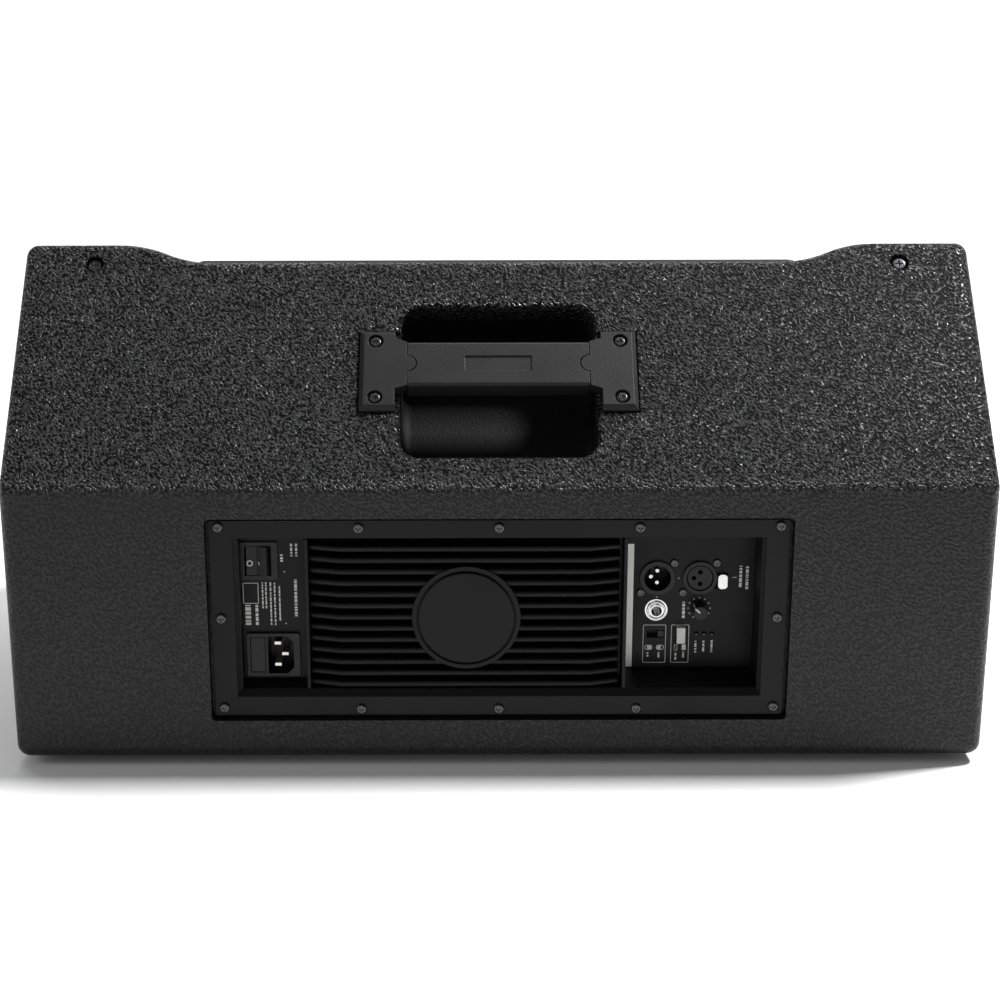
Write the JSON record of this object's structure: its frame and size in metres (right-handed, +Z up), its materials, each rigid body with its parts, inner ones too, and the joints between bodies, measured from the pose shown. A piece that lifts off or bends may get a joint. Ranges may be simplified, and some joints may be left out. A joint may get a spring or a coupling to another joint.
{
  "type": "stage monitor wedge",
  "caption": "Powered stage monitor wedge: coated plywood cabinet with a recessed carrying handle, finned amplifier with inlets and controls, grille and coaxial loudspeaker.",
  "frame": {"origin": "centre of the footprint, on the floor under the feet", "axes": "+Z up, +X along the width, to the left seen from the amplifier side, +Y towards the amplifier, grille faces -Y and up"},
  "size_m": [0.594, 0.377, 0.3016],
  "materials": {
    "coated_ply": "textured black polyurea coating on birch plywood",
    "bare_ply": "plywood, thin black paint",
    "grille_steel": "black powder coat",
    "foam": "open-cell foam or wadding",
    "rubber": "matt moulded rubber",
    "handle_plastic": "satin moulded nylon",
    "pocket_plastic": "matt black moulding",
    "amp_casting": "satin black powder coat",
    "panel_steel": "satin black, screen printed",
    "zinc_sheet": "zinc plated",
    "black_screw": "black oxide",
    "connector_plastic": "black moulding",
    "chrome_ring": "polished",
    "contact_metal": "silver plated",
    "latch_steel": "bright nickel",
    "white_button": "moulded",
    "label": "printed film, left blank",
    "lamp": "unlit tinted lens",
    "cone_paper": "coated paper pulp",
    "magnet": "plated",
    "circuit_board": "solder mask"
  },
  "bodies": {
    "cabinet": {"amp_cover": "zinc_sheet", "amp_frame": "amp_casting", "amp_screws": "black_screw", "baffle_board": "bare_ply", "battens": "bare_ply", "bottom_panel": "coated_ply", "cabinet_screws": "black_screw", "cheek_left": "coated_ply", "cheek_right": "coated_ply", "circuit_boards": "circuit_board", "compression_driver": "amp_casting", "damping_foam": "foam", "grille": "grille_steel", "grille_foam": "foam", "grille_screws": "black_screw", "handle_grip": "handle_plastic", "handle_plate_left": "handle_plastic", "handle_plate_right": "handle_plastic", "handle_pocket": "pocket_plastic", "heatsink": "amp_casting", "heatsink_medallion": "amp_casting", "horn": "pocket_plastic", "io_plate": "panel_steel", "line_jack": "chrome_ring", "line_jack_nut": "chrome_ring", "mains_inlet": "connector_plastic", "mains_pins": "contact_metal", "panel_switches": "connector_plastic", "port_tubes": "pocket_plastic", "power_plate": "panel_steel", "power_supply_parts": "connector_plastic", "power_switch_body": "connector_plastic", "rear_panel": "coated_ply", "rubber_feet": "rubber", "side_panel_left": "coated_ply", "side_panel_right": "coated_ply", "status_leds": "lamp", "toe_panel": "coated_ply", "upper_rear_panel": "coated_ply", "volume_pot": "contact_metal", "warning_strip": "label", "woofer_basket": "amp_casting", "woofer_magnet": "magnet", "woofer_pole_plates": "zinc_sheet", "woofer_screws": "black_screw", "woofer_spider": "foam", "woofer_surround": "rubber", "xlr_inlet_insert": "connector_plastic", "xlr_inlet_shell": "connector_plastic", "xlr_outlet_pins": "contact_metal", "xlr_outlet_shell": "connector_plastic", "xlr_screws": "black_screw"},
    "power_rocker": {"power_rocker": "connector_plastic"},
    "volume_knob": {"volume_knob": "connector_plastic"},
    "mic_line_slider": {"mic_line_slider": "connector_plastic"},
    "boost_button": {"boost_button": "white_button"},
    "xlr_latch": {"xlr_latch_tab": "latch_steel"},
    "fuse_drawer": {"fuse_drawer": "connector_plastic"},
    "cone": {"woofer_cone": "cone_paper", "voice_coil": "contact_metal"}
  },
  "joints": [
    {"name": "power_rocker_tilt", "type": "hinge", "parent": "cabinet", "child": "power_rocker", "pos_m": [0.146, 0.168, 0.128], "axis": [0, 0, 1], "range_deg": [0, 20]},
    {"name": "volume_turn", "type": "hinge", "parent": "cabinet", "child": "volume_knob", "pos_m": [-0.1242, 0.1605, 0.091], "axis": [0, -1, 0], "range_deg": [-100, 200]},
    {"name": "mic_line_slide", "type": "slide", "parent": "cabinet", "child": "mic_line_slider", "axis": [1, 0, 0], "range_m": [0, 0.0055]},
    {"name": "boost_press", "type": "slide", "parent": "cabinet", "child": "boost_button", "axis": [0, -1, 0], "range_m": [0, 0.0025], "stiffness_N_per_m": 300},
    {"name": "latch_press", "type": "slide", "parent": "cabinet", "child": "xlr_latch", "axis": [0, -1, 0], "range_m": [0, 0.0015], "stiffness_N_per_m": 500},
    {"name": "fuse_pull", "type": "slide", "parent": "cabinet", "child": "fuse_drawer", "axis": [0, 1, 0], "range_m": [0, 0.014]},
    {"name": "cone_travel", "type": "slide", "parent": "cabinet", "child": "cone", "axis": [0, -0.7071, 0.7071], "range_m": [-0.005, 0.005], "stiffness_N_per_m": 3000, "deforming": ["woofer_surround", "woofer_spider"]}
  ]
}
